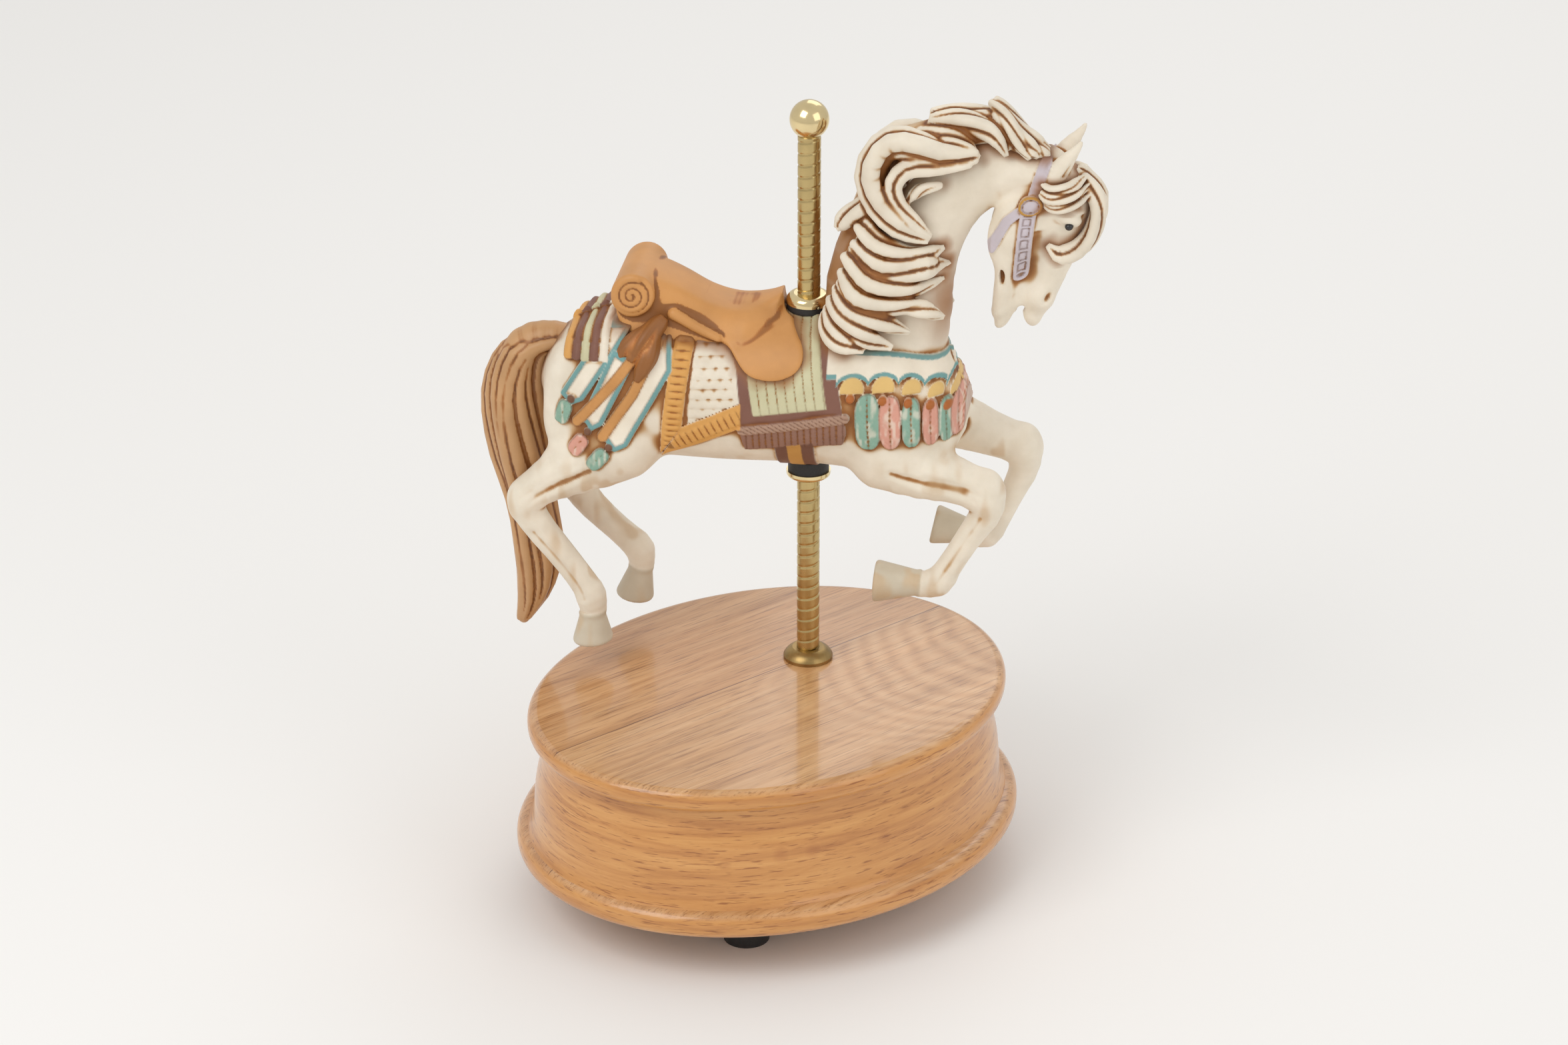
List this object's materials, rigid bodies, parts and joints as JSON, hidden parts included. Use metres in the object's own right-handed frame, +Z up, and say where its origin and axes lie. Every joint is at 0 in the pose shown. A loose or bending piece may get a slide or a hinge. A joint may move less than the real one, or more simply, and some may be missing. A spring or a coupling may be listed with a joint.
{
  "type": "carousel music box",
  "caption": "Bisque carousel horse on a spiral brass pole that turns on a moulded oval wood base holding a wind-up comb movement.",
  "frame": {"origin": "on the floor plane, at the centre of the object's footprint", "axes": "+Z up along the pole, +X the way the horse faces at rest"},
  "size_m": [0.2208, 0.1776, 0.2838],
  "materials": {
    "oak": "satin lacquered oak",
    "fibreboard": "smooth pressed board",
    "rubber": "matt black",
    "brass": "polished",
    "brass_pole": "lacquered, lightly toned",
    "brass_aged": "toned",
    "movement_brass": "satin",
    "plated_steel": "satin",
    "spring_steel": "blued",
    "bisque": "unglazed bisque, hand painted"
  },
  "bodies": {
    "base": {"oak_base": "oak", "bottom_cover": "fibreboard", "cover_screws": "plated_steel", "rubber_feet": "rubber", "foot_screws": "plated_steel", "pole_flange": "brass_aged", "movement_plate": "plated_steel", "movement_screws": "plated_steel", "arbor_bridge": "plated_steel", "cylinder_brackets": "movement_brass", "governor_frame": "movement_brass", "click": "plated_steel", "comb": "spring_steel", "comb_block": "movement_brass", "comb_screws": "plated_steel"},
    "carousel": {"horse_figure": "bisque", "pole": "brass_pole", "finial_ball": "brass", "upper_washer": "brass", "upper_grommet": "rubber", "lower_grommet": "rubber", "lower_washer": "brass", "output_coupling": "movement_brass", "great_wheel": "movement_brass", "spring_drum": "movement_brass", "mainspring": "spring_steel"},
    "winding": {"key_arbor": "plated_steel", "ratchet_wheel": "plated_steel", "winding_key": "plated_steel"},
    "music_cylinder": {"cylinder_shaft": "plated_steel", "cylinder_pinion": "movement_brass", "music_cylinder": "movement_brass", "cylinder_wheel": "movement_brass"},
    "governor": {"governor_spindle": "movement_brass"},
    "fly": {"worm_fly": "plated_steel"}
  },
  "joints": [
    {"name": "carousel_turn", "type": "hinge", "parent": "base", "child": "carousel", "pos_m": [0.00822, 0.0231, 0.05], "axis": [0, 0, 1], "continuous": true},
    {"name": "key_wind", "type": "hinge", "parent": "base", "child": "winding", "pos_m": [0.00822, 0.0231, 0.02], "axis": [0, 0, 1], "continuous": true},
    {"name": "cylinder_turn", "type": "hinge", "parent": "base", "child": "music_cylinder", "pos_m": [-0.00918, 0.00378, 0.051], "axis": [-0.6691, -0.7431, 0], "continuous": true},
    {"name": "governor_turn", "type": "hinge", "parent": "base", "child": "governor", "pos_m": [-0.01052, -0.00982, 0.051], "axis": [-0.6691, -0.7431, 0], "continuous": true},
    {"name": "fly_turn", "type": "hinge", "parent": "base", "child": "fly", "pos_m": [-0.00874, -0.01411, 0.052], "axis": [0, 0, 1], "continuous": true}
  ],
  "couplings": [
    {"joint": "cylinder_turn", "follows": "carousel_turn", "ratio": 3},
    {"joint": "governor_turn", "follows": "carousel_turn", "ratio": -15},
    {"joint": "fly_turn", "follows": "carousel_turn", "ratio": 300}
  ]
}
